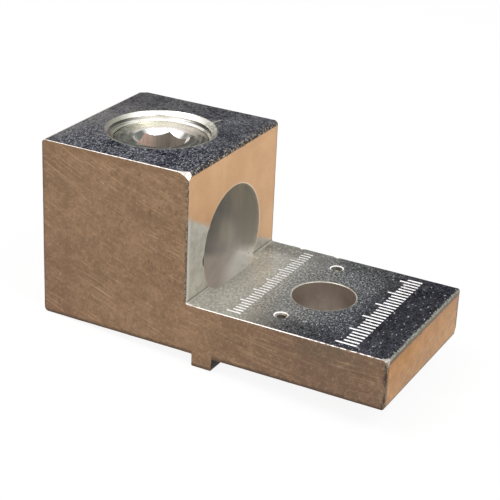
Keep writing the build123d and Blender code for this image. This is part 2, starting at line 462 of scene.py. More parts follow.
def top_metal():
    """Extruded top faces: dark and finely pitted with pale flecks, pale at the root of the tongue and dark at its end;
    the dark tone and this fall from pale to dark are painted reflection.
    """
    n = Nodes("top_face")
    cloud = n.noise(n.mm, 0.13, 4.0, 0.6, 0.5, 21.0)
    fleck = n.noise(n.stretched(n.mm, (4.0, 2.5, 1.0)), 1.0, 1.0, 0.5, 0.0, 22.0)
    spark = n.noise(n.stretched(n.mm, (1.7, 0.9, 1.0)), 1.0, 2.0, 0.6, 0.3, 28.0)
    grain = n.noise(n.stretched(n.mm, (2.0, 1.1, 1.0)), 1.0, 2.0, 0.6, 0.0, 26.0)
    pits = n.noise(n.stretched(n.mm, (2.2, 1.2, 1.0)), 1.0, 3.0, 0.7, 0.0, 23.0)
    hair = n.noise(n.stretched(n.turned(25, "Z"), (1.6, 0.35, 1.0)), 1.0, 4.0, 0.7, 0.6, 24.0)
    hair2 = n.noise(n.stretched(n.turned(-50, "Z"), (1.6, 0.35, 1.0)), 1.0, 4.0, 0.7, 0.6, 25.0)
    on_block = n.ramp(n.z, TONGUE + 2, TONGUE + 4)
    on_tongue = n.math("SUBTRACT", 1.0, on_block)
    left = n.math("MULTIPLY", n.ramp(n.math("ADD", n.x, n.math("MULTIPLY", n.y, -0.5)), -58.0, -35.0, 1.0, 0.0), on_block)
    tip = n.math("MULTIPLY", n.ramp(n.math("ADD", n.x, n.math("MULTIPLY", n.y, -0.25)), 0.0, 15.0), on_tongue)
    # Painted reflection: the dark tone of the tops, darker to the near side and paler at the back of the block.
    dark = n.mix(n.ramp(cloud, 0.35, 0.65), rgb(54, 55, 62), rgb(68, 68, 71))
    dark = n.mix(n.ramp(n.y, -4.0, -12.0, 0.0, 0.8), dark, rgb(24, 26, 42))
    dark = n.mix(n.ramp(n.y, 5.0, 11.0, 0.0, 0.8), dark, n.mix(n.ramp(n.x, -34.0, -27.0), rgb(60, 59, 62), rgb(86, 85, 88)))
    dark = n.mix(left, dark, n.mix(n.ramp(cloud, 0.4, 0.6), n.mix(n.ramp(n.y, 0.0, 12.0), rgb(122, 120, 122), rgb(86, 84, 85)), n.mix(n.ramp(n.y, 0.0, 12.0), rgb(136, 132, 130), rgb(98, 95, 94))))
    drift = n.noise(n.stretched(n.turned(20, "Z"), (0.30, 0.14, 1.0)), 1.0, 3.0, 0.6, 0.3, 27.0)
    along = n.math("ADD", n.math("ADD", n.x, n.math("MULTIPLY", n.math("SUBTRACT", cloud, 0.5), 6.0)), n.math("MULTIPLY", n.math("ADD", n.y, HALF), 0.11))
    aside = n.math("ADD", n.math("ABSOLUTE", n.math("SUBTRACT", n.y, 0.6)), n.math("MULTIPLY", n.math("SUBTRACT", cloud, 0.5), 3.0))
    # Painted reflection: the tongue falls from pale at its root to near black at its end, darker along its sides near
    # the end.
    tongue = n.colors(along, [(-22.0, (206, 203, 191)), (-16.0, (208, 206, 197)), (-11.0, (176, 175, 168)), (-8.0, (148, 146, 138)), (-5.0, (120, 118, 113)),
                              (0.0, (120, 118, 114)), (3.5, (100, 102, 104)), (8.0, (71, 74, 82)), (12.0, (44, 45, 53)), (17.0, (11, 9, 21)), (27.0, (15, 13, 26))])
    tongue = n.mix(n.math("MULTIPLY", n.ramp(aside, 11.0, 15.5), n.ramp(n.x, -6.0, -0.5)), tongue, rgb(20, 19, 28))
    tongue = n.mix(n.math("MULTIPLY", n.ramp(n.y, 11.0, 16.5, 0.0, 0.9), n.ramp(along, -5.0, 1.0, 1.0, 0.0)), tongue, rgb(80, 80, 76))
    tongue = n.mix(n.math("MULTIPLY", n.ramp(n.y, -13.5, -17.5, 0.0, 0.3), n.ramp(n.x, -13.0, -15.0)), tongue, rgb(120, 118, 110))
    tongue = n.mix(n.ramp(drift, 0.40, 0.62, 0.30, 0.0), tongue, n.mix(n.ramp(n.x, -10.0, -4.0), rgb(150, 148, 134), rgb(52, 53, 58)))
    tongue = n.mix(n.math("MULTIPLY", n.ramp(n.x, FRONT + 0.5, FRONT + 2.4, 0.5, 0.0), n.ramp(drift, 0.42, 0.56)), tongue, rgb(180, 176, 164))
    # Painted reflection: a near-white patch on the tongue near its root.
    facing = n.math("MULTIPLY", n.ramp(n.x, -12.0, -16.5), n.ramp(n.math("ABSOLUTE", n.math("ADD", n.y, 3.0)), 6.0, 14.0, 0.5, 0.0))
    tongue = n.mix(facing, tongue, rgb(238, 234, 220))
    tongue = n.mix(n.ramp(pits, 0.44, 0.56, 0.22, 0.0), tongue, rgb(112, 114, 100))
    rooty = n.ramp(along, -11.0, -5.0, 1.0, 0.0)
    tongue = n.mix(n.math("MULTIPLY", n.ramp(grain, 0.36, 0.50, 0.42, 0.0), rooty), tongue, rgb(126, 124, 108))
    tongue = n.mix(n.math("MULTIPLY", n.ramp(grain, 0.52, 0.64, 0.0, 0.42), rooty), tongue, rgb(246, 240, 224))
    tongue = n.mix(n.math("MULTIPLY", n.ramp(fleck, 0.56, 0.66, 0.0, 0.5), rooty), tongue, rgb(150, 146, 130))
    salt = n.noise(n.stretched(n.mm, (2.9, 1.7, 1.0)), 1.0, 2.0, 0.6, 0.0, 29.0)
    # Painted light: a paler patch on the tongue just in front of the bore.
    before_bore = n.math("MULTIPLY", n.ramp(n.math("ADD", n.x, n.math("MULTIPLY", n.math("SUBTRACT", drift, 0.5), 8.0)), FRONT + 1.8, FRONT + 3.8, 0.5, 0.0), n.band(n.y, -2.0, 9.0, 4.0))
    tongue = n.mix(before_bore, tongue, n.mix(n.ramp(salt, 0.42, 0.56), rgb(184, 182, 172), rgb(224, 214, 200)))
    between = n.math("MULTIPLY", n.band(along, -8.0, 10.0, 4.0), n.ramp(aside, 12.0, 15.0, 1.0, 0.4))
    tongue = n.mix(n.math("MULTIPLY", n.ramp(salt, 0.37, 0.49, 0.95, 0.0), between), tongue, rgb(34, 36, 44))
    tongue = n.mix(n.math("MULTIPLY", n.ramp(salt, 0.53, 0.63, 0.0, 0.8), between), tongue, rgb(204, 205, 202))
    # Violet specks towards the tongue's end.
    tip_speckle = n.math("MULTIPLY", tip, n.ramp(drift, 0.44, 0.60, 0.2, 1.0))
    tongue = n.mix(n.math("MULTIPLY", n.ramp(salt, 0.53, 0.63, 0.0, 0.3), tip_speckle), tongue, rgb(104, 102, 128))
    dark = n.mix(on_tongue, dark, tongue)
    pale = n.math("MULTIPLY", n.ramp(along, -11.0, 3.0, 1.0, 0.0), on_tongue)
    light = n.mix(tip, n.mix(on_block, rgb(206, 207, 206), rgb(202, 204, 212)), rgb(156, 156, 172))
    calm = n.math("MAXIMUM", n.math("MULTIPLY", left, 0.35), n.math("MULTIPLY", pale, 0.78))
    calm = n.math("SUBTRACT", 1.0, calm)
    near = n.math("MULTIPLY", n.ramp(n.y, 8.0, -14.0, 0.45, 0.85), calm)
    near = n.math("MULTIPLY", near, n.math("SUBTRACT", 1.0, n.math("MULTIPLY", tip, 0.85)))
    color = n.mix(n.math("MULTIPLY", n.ramp(fleck, 0.54, 0.66, 0.0, 0.95), n.math("MULTIPLY", near, n.mixed(on_tongue, 1.0, 0.6))), dark, light)
    color = n.mix(n.math("MULTIPLY", n.ramp(grain, 0.60, 0.70, 0.0, 0.6), near), color, light)
    color = n.mix(n.math("MULTIPLY", n.ramp(spark, 0.62, 0.67, 0.0, 0.9), n.math("MULTIPLY", on_tongue, calm)), color, rgb(214, 214, 218))
    for line in (hair, hair2):
        ridge = n.ramp(n.math("ABSOLUTE", n.math("SUBTRACT", line, 0.5)), 0.004, 0.020, 0.45, 0.0)
        color = n.mix(n.math("MULTIPLY", ridge, n.math("MULTIPLY", n.ramp(cloud, 0.42, 0.60, 0.5, 1.0), calm)), color, light)
    color = n.mix(n.math("MULTIPLY", n.ramp(pits, 0.38, 0.50, 0.6, 0.0), n.math("SUBTRACT", 1.0, n.math("MULTIPLY", pale, 0.6))), color,
                  n.mix(pale, rgb(22, 22, 32), rgb(128, 128, 118)))
    # Painted highlight: a light ring round the screw hole, strongest on its near side, and one round the bolt hole.
    far, side, out = n.about_screw()
    turn = n.about_turn(far, side, 20.0)
    near_side = n.ramp(n.math("ABSOLUTE", turn), 95.0, 120.0)
    ring = n.math("MULTIPLY", n.math("MULTIPLY", n.ramp(out, 12.05, 12.30, 0.7, 0.0), n.mixed(near_side, 0.25, 1.0)), on_block)
    hole = n.vmath("LENGTH", n.join(n.x, n.y, 0.0))
    ring = n.math("MAXIMUM", ring, n.math("MULTIPLY", n.ramp(hole, 6.98, 7.12, 0.7, 0.0), on_tongue))
    color = n.mix(n.math("MULTIPLY", ring, n.ramp(pits, 0.38, 0.52, 0.5, 1.0)), color, rgb(186, 182, 168))
    burr = n.math("ABSOLUTE", n.math("SUBTRACT", n.x, n.math("ADD", n.math("MULTIPLY", n.y, 0.28), -35.9)))
    burr = n.math("MULTIPLY", n.ramp(burr, 0.12, 0.40, 0.85, 0.0), n.band(n.y, 9.4, 11.8, 0.8))
    color = n.mix(n.math("MULTIPLY", burr, on_block), color, rgb(196, 192, 180))
    # Painted highlight: a lighter grey band along the tongue's rounded end.
    frayed = n.math("ADD", n.x, n.math("MULTIPLY", n.math("SUBTRACT", pits, 0.5), 1.8))
    end = n.math("MULTIPLY", n.ramp(frayed, TIP - 0.45, TIP - 0.25), on_tongue)
    color = n.mix(n.math("MULTIPLY", end, 0.9), color, n.mix(n.ramp(fleck, 0.4, 0.6), rgb(128, 130, 120), rgb(176, 176, 164)))
    block_end = n.math("MULTIPLY", n.ramp(n.math("ADD", n.x, n.math("MULTIPLY", n.math("SUBTRACT", pits, 0.5), 1.0)), FRONT - 0.65, FRONT - 0.35), on_block)
    color = n.mix(n.math("MULTIPLY", block_end, 0.7), color, n.mix(n.ramp(fleck, 0.50, 0.62), rgb(60, 55, 50), rgb(176, 166, 150)))
    normal = n.bump(fleck, 0.4, 0.05)
    n.put(n.shader.inputs["Metallic"], n.mixed(pale, 1.0, 0.35))
    return n.finish(color, n.ramp(fleck, 0.3, 0.7, 0.30, 0.42), normal, metallic=None, tint=0.4)


def edge_metal():
    """Broken edges and burrs: bright along the upper edges, a painted highlight, and dark along the others, painted
    shade.
    """
    n = Nodes("burr")
    fine = n.noise(n.mm, 1.6, 3.0, 0.6, 0.0, 47.0)
    dots = n.noise(n.mm, 1.1, 3.0, 0.7, 0.0, 48.0)
    # Painted highlight on the upper edges and painted shade on the others: lit and shaded colours of one edge.
    block_top = n.ramp(n.z, TOP - 1.9, TOP - 1.0)
    tongue_top = n.math("MULTIPLY", n.ramp(n.math("ABSOLUTE", n.math("SUBTRACT", n.z, TONGUE)), 0.35, 0.6, 1.0, 0.0),
                        n.ramp(n.x, FRONT - 0.6, FRONT - 0.2))
    bright = n.math("MAXIMUM", block_top, tongue_top)
    dark = n.mix(n.ramp(dots, 0.42, 0.58), rgb(66, 54, 44), rgb(142, 120, 96))
    below = n.math("MULTIPLY", n.band(n.z, TOP - 3.0, TOP - 1.6, 0.6), n.ramp(n.x, FRONT - 3.0, FRONT - 2.0))
    dark = n.mix(below, dark, n.mix(n.ramp(dots, 0.4, 0.6), rgb(122, 112, 102), rgb(176, 168, 158)))
    corner = n.math("MULTIPLY", n.ramp(n.x, TIP - 2.0, TIP - 1.0), n.ramp(n.z, TONGUE - 2.0, TONGUE - 0.6))
    dark = n.mix(corner, dark, n.mix(n.ramp(dots, 0.4, 0.6), rgb(128, 116, 100), rgb(186, 180, 168)))
    shine = n.mix(n.ramp(fine, 0.35, 0.60), rgb(206, 196, 190), rgb(250, 242, 236))
    shine = n.mix(n.math("MULTIPLY", n.ramp(n.x, 2.0, 12.0), n.ramp(dots, 0.44, 0.54)), shine, rgb(120, 104, 90))
    shine = n.mix(n.math("MULTIPLY", n.ramp(n.x, TIP - 3.0, TIP - 1.5), 0.7), shine, rgb(176, 174, 166))
    round_bolt = n.vmath("LENGTH", n.join(n.x, n.y, 0.0))
    shine = n.mix(n.ramp(round_bolt, 7.3, 7.5, 0.85, 0.0), shine, rgb(178, 174, 160))
    knob = n.vmath("LENGTH", n.join(n.math("SUBTRACT", n.x, FRONT - 0.5), n.math("ADD", n.y, HALF), n.math("SUBTRACT", n.z, TOP - 0.8)))
    shine = n.mix(n.math("MULTIPLY", n.ramp(knob, 1.0, 2.6, 1.0, 0.0), n.ramp(dots, 0.40, 0.56, 0.9, 0.3)), shine, rgb(196, 184, 178))
    color = n.mix(bright, dark, shine)
    normal = n.bump(fine, 0.15, 0.04)
    return n.finish(color, n.ramp(fine, 0.3, 0.7, 0.28, 0.40), normal, metallic=0.5)


def plain_metal(name, low, high, rough=0.35, seed=31.0, scale=0.5, metallic=0.5, bump=0.15):
    n = Nodes(name)
    cloud = n.noise(n.mm, scale, 4.0, 0.6, 0.3, seed)
    fine = n.noise(n.mm, scale * 6, 3.0, 0.6, 0.0, seed + 1)
    color = n.mix(n.ramp(cloud, 0.35, 0.65), rgb(*low), rgb(*high))
    normal = n.bump(fine, bump, 0.04)
    return n.finish(color, n.ramp(fine, 0.3, 0.7, rough - 0.05, rough + 0.07), normal, metallic)


def bore_metal():
    """Wire bore: smooth, with painted light, palest along its floor near the front, and painted shade deeper in and
    higher up, with faint streaks and a few dark spots.
    """
    n = Nodes("wire_bore")
    cloud = n.noise(n.mm, 0.16, 4.0, 0.6, 0.3, 41.0)
    streak = n.noise(n.stretched(n.mm, (0.5, 0.10, 0.10)), 1.0, 3.0, 0.6, 0.2, 42.0)
    spot = n.noise(n.mm, 0.5, 2.0, 0.5, 0.3, 43.0)
    # Painted light and shade: palest low down near the mouth, darker higher up and deeper in.
    height = n.math("ADD", n.z, n.math("MULTIPLY", n.math("SUBTRACT", cloud, 0.5), 5.0))
    deep = n.math("SUBTRACT", FRONT, n.x)
    height = n.math("ADD", height, n.math("MULTIPLY", deep, 0.75))
    color = n.mix(n.ramp(height, 9.0, 18.0), rgb(255, 250, 240), rgb(186, 180, 170))
    color = n.mix(n.ramp(n.z, 17.0, 24.0), color, rgb(196, 190, 172))
    inner = n.math("ADD", n.math("MULTIPLY", deep, 1.0), n.math("MULTIPLY", n.math("SUBTRACT", cloud, 0.5), 8.0))
    color = n.mix(n.math("MULTIPLY", n.band(inner, 13.0, 20.0, 8.0), n.ramp(n.z, 14.0, 20.0, 0.0, 0.6)), color, rgb(160, 168, 172))
    # Painted highlights and shade in patches near the mouth, set along two fixed slanting directions of the lug.
    over = n.math("ADD", n.math("MULTIPLY", n.x, 0.88), n.math("MULTIPLY", n.y, 0.47))
    rise = n.math("ADD", n.math("MULTIPLY", n.x, -0.23), n.math("ADD", n.math("MULTIPLY", n.y, 0.35), n.math("MULTIPLY", n.z, 0.91)))
    color = n.mix(n.math("MULTIPLY", n.ramp(over, -18.6, -22.5), n.ramp(rise, 19.5, 17.0)), color, rgb(212, 198, 184))
    color = n.mix(n.math("MULTIPLY", n.ramp(over, -21.5, -24.5, 0.0, 0.5), n.band(rise, 19.5, 26.0, 2.0)), color, rgb(150, 146, 140))
    middle = n.vmath("LENGTH", n.join(n.math("ADD", over, 20.5), n.math("MULTIPLY", n.math("SUBTRACT", rise, 24.0), 0.6), 0.0))
    color = n.mix(n.ramp(middle, 0.6, 2.6, 0.6, 0.0), color, rgb(226, 218, 200))
    color = n.mix(n.math("MULTIPLY", n.ramp(over, -18.2, -16.8, 0.0, 0.85), n.ramp(rise, 19.8, 21.5)), color, rgb(172, 166, 152))
    color = n.mix(n.math("MULTIPLY", n.ramp(over, -19.5, -17.5), n.ramp(rise, 20.0, 18.5)), color, rgb(255, 252, 240))
    color = n.mix(n.ramp(streak, 0.45, 0.62, 0.0, 0.16), color, rgb(140, 136, 136))
    color = n.mix(n.ramp(spot, 0.70, 0.75, 0.0, 0.5), color, rgb(80, 78, 72))
    blotch = n.noise(n.mm, 1.1, 3.0, 0.7, 0.3, 44.5)
    # Painted highlight: a pale pinkish patch at the mouth, on its far half.
    mouth_highlight = n.math("MULTIPLY", n.ramp(n.math("ADD", n.x, n.math("MULTIPLY", n.math("SUBTRACT", blotch, 0.5), 3.0)), FRONT - 1.0, FRONT + 1.2), n.ramp(n.y, -2.0, 3.0))
    color = n.mix(n.math("MULTIPLY", mouth_highlight, 0.7), color, rgb(250, 230, 208))
    color = n.mix(n.math("MULTIPLY", n.ramp(blotch, 0.54, 0.66, 0.0, 0.4), n.ramp(n.x, FRONT - 4.0, FRONT)), color, rgb(160, 156, 142))
    return n.finish(color, n.ramp(streak, 0.3, 0.7, 0.32, 0.42), n.bump(streak, 0.06, 0.03), metallic=0.1)


def tap_metal():
    """Tapped hole: bright, brightest at the far left, dull and brown at the left, painted light and shade by side, with
    painted shade in the thread's roots.
    """
    n = Nodes("tapped_hole")
    far, side, _ = n.about_screw()
    turn = n.about_turn(far, side)
    soft = n.noise(n.join(n.math("MULTIPLY", far, 2.0), n.math("MULTIPLY", side, 2.0), n.math("MULTIPLY", n.z, 1.6)), 1.0, 3.0, 0.6, 0.0, 45.0)
    fine = n.noise(n.mm, 1.6, 3.0, 0.7, 0.0, 46.0)
    # Painted light and shade by the side of the hole.
    color = n.colors(turn, [(-180, (140, 132, 120)), (-95, (128, 100, 80)), (-78, (112, 108, 92)), (-48, (158, 160, 146)),
                            (-28, (244, 242, 234)), (40, (255, 254, 250)), (66, (214, 210, 198)), (100, (160, 154, 142)), (180, (140, 132, 120))])
    color = n.mix(n.ramp(soft, 0.50, 0.64, 0.0, 0.25), color, rgb(176, 172, 158))
    # Painted shade in the thread's roots, strongest at the sides.
    turns = n.math("SUBTRACT", n.math("DIVIDE", n.z, PITCH), n.math("DIVIDE", n.math("ADD", n.math("MULTIPLY", turn, -1.0), 125.0), 360.0))
    u = n.math("FRACT", n.math("ADD", turns, 0.5 - PHASE + 10.0))
    at_sides = n.ramp(n.math("ABSOLUTE", n.math("ADD", turn, -5.0)), 12.0, 55.0, 0.22, 0.92)
    color = n.mix(n.math("MULTIPLY", n.band(u, 0.32, 0.55, 0.04), at_sides), color, rgb(40, 38, 31))
    at_left = n.ramp(turn, -55.0, -30.0, 0.75, 0.0)
    color = n.mix(n.math("MULTIPLY", n.band(u, 0.16, 0.24, 0.04), at_left), color, rgb(70, 64, 54))
    at_right = n.math("MULTIPLY", n.band(turn, 70.0, 110.0, 12.0), n.ramp(fine, 0.46, 0.54, 0.0, 0.75))
    color = n.mix(at_right, color, rgb(104, 102, 88))
    return n.finish(color, n.ramp(fine, 0.3, 0.7, 0.20, 0.30), n.bump(soft, 0.10, 0.04), metallic=0.6)


def screw_metal(name, seed):
    """Turned screw: soft rings about its axis, cream at the far side, and dark and blotched round the rest; the cream
    and dark on the head are painted light and shade, and the thread's roots carry painted shade.
    """
    n = Nodes(name)
    far, side, out = n.about_screw()
    turn = n.about_turn(far, side, 26.0)
    rings = n.noise(n.join(n.math("MULTIPLY", out, 1.5), n.math("MULTIPLY", far, 0.6), n.math("MULTIPLY", side, 0.6)), 1.0, 3.0, 0.6, 0.0, seed)
    fine = n.noise(n.mm, 1.3, 3.0, 0.7, 0.0, seed + 1)
    # Painted light and shade on the head: cream at the far side, darker round the rest.
    color = n.colors(turn, [(-180, (72, 70, 66)), (-110, (84, 85, 80)), (-78, (120, 118, 110)), (-42, (196, 192, 178)),
                            (-14, (248, 246, 226)), (22, (252, 246, 234)), (58, (220, 210, 200)), (84, (140, 132, 120)),
                            (104, (80, 77, 72)), (180, (72, 70, 66))])
    blot = n.noise(n.join(n.math("MULTIPLY", out, 1.1), n.math("MULTIPLY", far, 2.2), n.math("MULTIPLY", side, 2.2)), 1.0, 3.0, 0.7, 0.4, seed + 2)
    dull = n.ramp(n.math("ABSOLUTE", n.math("ADD", turn, -2.0)), 55.0, 85.0)
    color = n.mix(n.math("MULTIPLY", n.ramp(blot, 0.42, 0.54, 0.95, 0.0), dull), color, rgb(58, 57, 50))
    smear = n.noise(n.mm, 0.9, 3.0, 0.7, 0.8, seed + 3)
    color = n.mix(n.math("MULTIPLY", n.ramp(smear, 0.48, 0.58, 0.0, 0.5), n.ramp(turn, -20.0, -60.0)), color, rgb(84, 92, 80))
    color = n.mix(n.math("MULTIPLY", n.ramp(blot, 0.56, 0.66, 0.0, 0.6), dull), color, rgb(176, 172, 156))
    color = n.mix(n.ramp(rings, 0.48, 0.66, 0.0, 0.32), color, rgb(160, 154, 140))
    # Painted highlight on the head near the socket, at the far side.
    inner = n.math("MULTIPLY", n.ramp(out, 6.2, 7.6, 0.7, 0.0), n.ramp(n.math("ABSOLUTE", turn), 45.0, 70.0, 1.0, 0.0))
    color = n.mix(inner, color, rgb(246, 236, 232))
    color = n.mix(n.ramp(fine, 0.56, 0.72, 0.0, 0.22), color, rgb(120, 116, 106))
    plated = n.mix(n.ramp(rings, 0.38, 0.62), rgb(168, 164, 152), rgb(204, 200, 188))
    plated = n.mix(n.ramp(fine, 0.50, 0.66, 0.0, 0.35), plated, rgb(132, 126, 112))
    # Painted shade in the thread's roots.
    plated = n.mix(n.ramp(out, 10.1, 10.4, 0.7, 0.0), plated, rgb(92, 86, 74))
    color = n.mix(n.ramp(n.z, SCREW_TOP - 1.35, SCREW_TOP - 1.1), plated, color)
    n.put(n.shader.inputs["Metallic"], n.ramp(n.z, SCREW_TOP - 1.35, SCREW_TOP - 1.1, 0.5, 1.0))
    return n.finish(color, n.ramp(fine, 0.3, 0.7, 0.24, 0.34), n.bump(rings, 0.12, 0.04), metallic=None, tint=0.75)


def cone_metal():
    """Countersink: white at the far side, grey-green beside it, with a pale patch at each end, all painted light and
    shade by side.
    """
    n = Nodes("screw_countersink")
    far, side, _ = n.about_screw()
    cloud = n.noise(n.mm, 0.7, 3.0, 0.6, 0.0, 65.0)
    turn = n.about_turn(far, side, 14.0)
    # Painted highlight at the far side and at each end, painted shade beside it.
    color = n.colors(turn, [(-180, (150, 144, 136)), (-112, (206, 198, 196)), (-86, (190, 184, 182)), (-76, (98, 104, 100)),
                            (-42, (104, 108, 102)), (-27, (255, 255, 252)), (55, (255, 255, 252)), (66, (126, 126, 118)),
                            (80, (136, 132, 126)), (92, (232, 220, 214)), (132, (222, 212, 206)), (160, (150, 144, 136))])
    color = n.mix(n.ramp(cloud, 0.50, 0.62, 0.0, 0.25), color, rgb(150, 148, 140))
    return n.finish(color, n.ramp(cloud, 0.3, 0.7, 0.18, 0.26), n.bump(cloud, 0.08, 0.04), metallic=0.6)


def hex_metal():
    """Socket walls: warm brown at the left, turning grey to the right, with faint broach lines."""
    n = Nodes("screw_socket")
    _, side, out = n.about_screw()
    across = n.math("MULTIPLY", side, out)
    cloud = n.noise(n.mm, 0.5, 3.0, 0.6, 0.0, 67.0)
    lines = n.noise(n.stretched(n.mm, (2.2, 2.2, 0.15)), 1.0, 3.0, 0.6, 0.0, 68.0)
    color = n.mix(n.ramp(n.math("ADD", across, cloud), -3.0, 1.0), rgb(236, 210, 194), rgb(154, 148, 138))
    color = n.mix(n.ramp(lines, 0.48, 0.66, 0.0, 0.3), color, rgb(126, 108, 94))
    return n.finish(color, n.ramp(cloud, 0.3, 0.7, 0.34, 0.44), n.bump(lines, 0.15, 0.04), metallic=0.25)


def under_metal():
    """Extruded underside and rib: dull grey, with painted shade, near black, on the rib's front face and the corner in
    front of it.
    """
    n = Nodes("underside")
    cloud = n.noise(n.mm, 0.2, 4.0, 0.6, 0.3, 53.0)
    draw = n.noise(n.stretched(n.mm, (2.0, 0.12, 2.0)), 1.0, 3.0, 0.6, 0.0, 54.0)
    fine = n.noise(n.mm, 1.3, 4.0, 0.8, 0.0, 55.0)
    color = n.mix(n.ramp(cloud, 0.35, 0.65), rgb(96, 92, 86), rgb(132, 126, 118))
    color = n.mix(n.ramp(draw, 0.45, 0.65, 0.0, 0.3), color, rgb(164, 158, 148))
    color = n.mix(n.ramp(fine, 0.36, 0.50, 0.5, 0.0), color, rgb(62, 58, 54))
    # Painted shade on the rib's front face and the corner in front of it, darkest near the top.
    front = n.math("MULTIPLY", n.band(n.x, RIB_FRONT - 0.25, RIB_FRONT + 0.3, 0.3), n.ramp(n.z, RIB_LOW + 0.02, RIB_LOW + 0.3))
    color = n.mix(front, color, n.mix(n.ramp(n.z, -2.6, -0.6), rgb(58, 48, 36), rgb(24, 19, 14)))
    return n.finish(color, n.ramp(fine, 0.3, 0.7, 0.40, 0.52), n.bump(fine, 0.3, 0.05), metallic=0.6, tint=0.6)


def back_metal():
    """Extruded back face: grey with a tan cast, with faint lines along the extrusion and a few stains."""
    n = Nodes("back_face")
    cloud = n.noise(n.mm, 0.12, 4.0, 0.6, 0.4, 51.0)
    draw = n.noise(n.stretched(n.mm, (2.0, 0.06, 1.6)), 1.0, 4.0, 0.7, 0.0, 52.0)
    fine = n.noise(n.stretched(n.mm, (1.0, 1.0, 2.0)), 1.6, 3.0, 0.7, 0.0, 56.0)
    color = n.mix(n.ramp(cloud, 0.35, 0.65), rgb(154, 142, 122), rgb(184, 168, 142))
    color = n.mix(n.ramp(draw, 0.46, 0.62, 0.0, 0.35), color, rgb(200, 190, 170))
    color = n.mix(n.ramp(draw, 0.34, 0.46, 0.3, 0.0), color, rgb(126, 116, 100))
    color = n.mix(n.ramp(fine, 0.58, 0.72, 0.0, 0.35), color, rgb(132, 122, 106))
    rim = n.math("MINIMUM", n.math("SUBTRACT", TOP, n.z), n.math("MINIMUM", n.z, n.math("SUBTRACT", HALF, n.math("ABSOLUTE", n.y))))
    rim = n.math("ADD", rim, n.math("MULTIPLY", n.math("SUBTRACT", fine, 0.5), 0.9))
    color = n.mix(n.ramp(rim, 0.15, 0.7, 0.7, 0.0), color, rgb(92, 78, 62))
    return n.finish(color, n.ramp(fine, 0.3, 0.7, 0.34, 0.46), n.bump(draw, 0.15, 0.04), metallic=0.5)


SAWN, FACE, TOPS, BORE, BOLT, TAP, EDGE, MARK, BACKS, UNDER = range(10)
body_materials = [
    sawn_metal(),
    front_metal(),
    top_metal(),
    bore_metal(),
    plain_metal("bolt_hole", (148, 134, 122), (160, 146, 133), 0.35, 43.0, 0.4, 0.5),
    tap_metal(),
    edge_metal(),
    plain_metal("stamped", (235, 233, 232), (255, 255, 255), 0.4, 49.0, 0.8, 0.3),
    back_metal(),
    under_metal(),
]
SCREW_TOPS, SCREW_THREAD, SCREW_CONE, SCREW_HEX = range(4)
screw_materials = [
    screw_metal("screw_top", 61.0),
    screw_metal("screw_thread", 63.0),
    cone_metal(),
    hex_metal(),
]


# ---------------------------------------------------------------- body

def body_outline():
    """(x, z, inward x, inward z, slot, straight) along the extruded profile, seen from the near side, counter-clockwise."""
    corners = [
        (BACK, 0, 1.0, UNDER),
        (RIB_BACK, 0, 0.3, UNDER),
        (RIB_BACK, RIB_LOW, 0.3, UNDER),
        (RIB_FRONT, RIB_LOW, 0.3, UNDER),
        (RIB_FRONT, 0, 0.3, UNDER),
        (TIP, 0, 0.8, FACE),
        (TIP, TONGUE, 0.5, TOPS),
        (FRONT, TONGUE, 0.4, FACE),
        (FRONT, TOP, 0.9, TOPS),
        (BACK, TOP, 0.8, BACKS),
    ]
    count = len(corners)
    runs = []
    for i, (x, z, r, slot) in enumerate(corners):
        p = Vector((x, z))
        before = (Vector(corners[i - 1][:2]) - p).normalized()
        after = (Vector(corners[(i + 1) % count][:2]) - p).normalized()
        start, end = p + before * r, p + after * r
        centre = p + (before + after) * r
        convex = before.x * after.y - before.y * after.x < 0
        arc = []
        steps = 3 if r < 0.5 else 7
        a0 = math.atan2(start.y - centre.y, start.x - centre.x)
        turn = -math.pi / 2 if not convex else math.pi / 2
        for k in range(steps + 1):
            a = a0 + turn * k / steps
            q = centre + Vector((math.cos(a), math.sin(a))) * r
            inward = (centre - q).normalized() * (1 if convex else -1)
            arc.append((q.x, q.y, inward.x, inward.y))
        runs.append((arc, slot, end))
    points, kinds = [], []
    for i, (arc, slot, end) in enumerate(runs):
        for k, q in enumerate(arc):
            points.append(q)
            kinds.append((slot, k == len(arc) - 1))
        nxt = Vector(runs[(i + 1) % count][0][0][:2])
        span = nxt - end
        steps = max(1, int(span.length / 0.55))
        side = Vector((-span.y, span.x)).normalized()
        for k in range(1, steps):
            q = end + span * (k / steps)
            points.append((q.x, q.y, side.x, side.y))
            kinds.append((slot, True))
    return points, kinds


